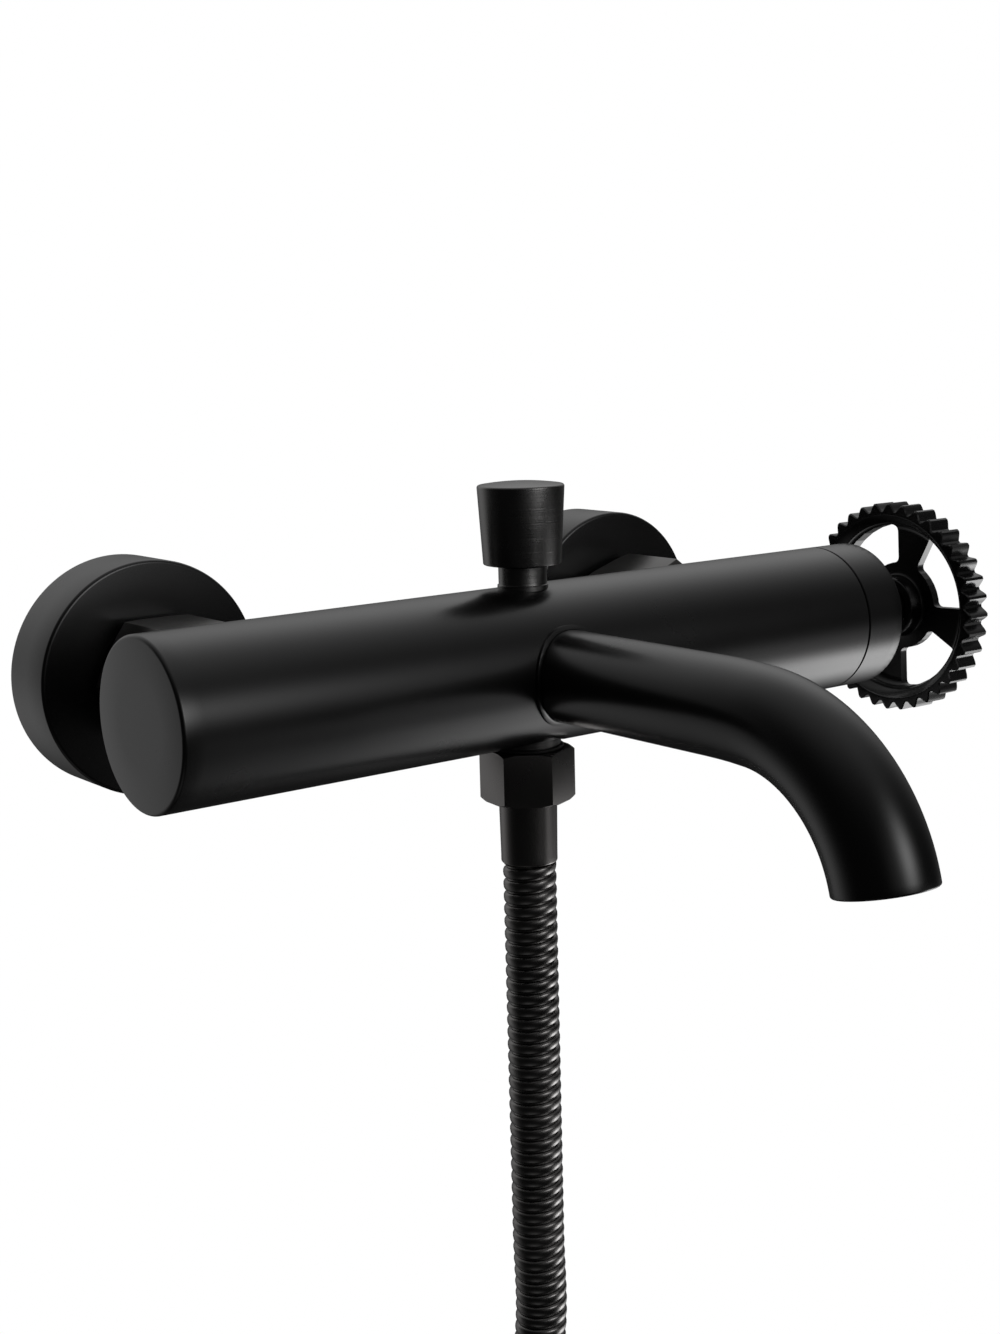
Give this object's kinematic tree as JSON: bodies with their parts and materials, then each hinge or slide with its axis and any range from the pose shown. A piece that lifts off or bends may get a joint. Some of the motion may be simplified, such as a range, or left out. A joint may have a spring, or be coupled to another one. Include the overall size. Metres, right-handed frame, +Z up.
{
  "type": "wall mounted bath faucet",
  "caption": "Wall mounted bath faucet: round body, bent spout, gear shaped handwheel at one end, pull-up diverter and a coiled shower hose.",
  "frame": {"origin": "on the finished wall, midway between the inlets, at the height of the body's axis", "axes": "+X along the body to the handwheel, +Y into the wall, +Z up; the spout points to -Y"},
  "size_m": [0.2486, 0.2191, 0.4386],
  "materials": {
    "black_coating": "satin black powder coating",
    "dark_metal": "semi-gloss gun metal plating",
    "hose_metal": "semi-gloss black plating",
    "hose_sheath": "wound sheath, semi-gloss black",
    "brass": "turned, uncoated",
    "steel": "stainless, as drawn",
    "rubber": "moulded matte",
    "plastic": "moulded matte",
    "ceramic": "lapped ceramic"
  },
  "bodies": {
    "base": {"body": "black_coating", "cartridge_seal": "rubber", "cartridge_base": "plastic", "ceramic_disc_fixed": "ceramic", "cartridge_housing": "plastic", "spindle_seal": "rubber", "cartridge_nut": "brass", "end_ring": "black_coating", "spout_tube": "black_coating", "spout_collar": "black_coating", "spout_nipple": "brass", "spout_seal": "rubber", "aerator_housing": "steel", "aerator_insert": "plastic", "aerator_washer": "rubber", "diverter_bonnet": "dark_metal", "diverter_rod_seal": "rubber", "diverter_sleeve": "brass", "outlet_nipple": "dark_metal", "hose_washer": "rubber", "hose_nut": "hose_metal", "hose_insert": "brass", "hose_ferrule": "hose_metal", "hose_tube": "hose_sheath", "hose_coil": "hose_sheath", "coil_tie": "rubber", "far_ferrule": "hose_metal", "far_nut": "hose_metal", "far_insert": "brass", "far_washer": "rubber", "left_tail": "dark_metal", "left_union_nut": "dark_metal", "left_gasket": "rubber", "left_union": "dark_metal", "left_escutcheon": "black_coating", "right_tail": "dark_metal", "right_union_nut": "dark_metal", "right_gasket": "rubber", "right_union": "dark_metal", "right_escutcheon": "black_coating"},
    "handle": {"ceramic_disc_moving": "ceramic", "disc_carrier": "plastic", "spindle": "brass", "handle_stem": "dark_metal", "handle_screw": "steel", "index_cap": "dark_metal", "handwheel": "black_coating"},
    "diverter": {"diverter_rod": "steel", "diverter_knob": "dark_metal", "diverter_plunger": "brass", "plunger_lower_seal": "rubber", "plunger_upper_seal": "rubber", "diverter_spring": "steel"}
  },
  "joints": [
    {"name": "handle_turn", "type": "hinge", "parent": "base", "child": "handle", "pos_m": [0, -0.072, 0], "axis": [1, 0, 0], "range_deg": [0, 110]},
    {"name": "diverter_lift", "type": "slide", "parent": "base", "child": "diverter", "axis": [0, 0, 1], "range_m": [0, 0.0072], "stiffness_N_per_m": 200, "deforming": ["diverter_spring"]}
  ]
}
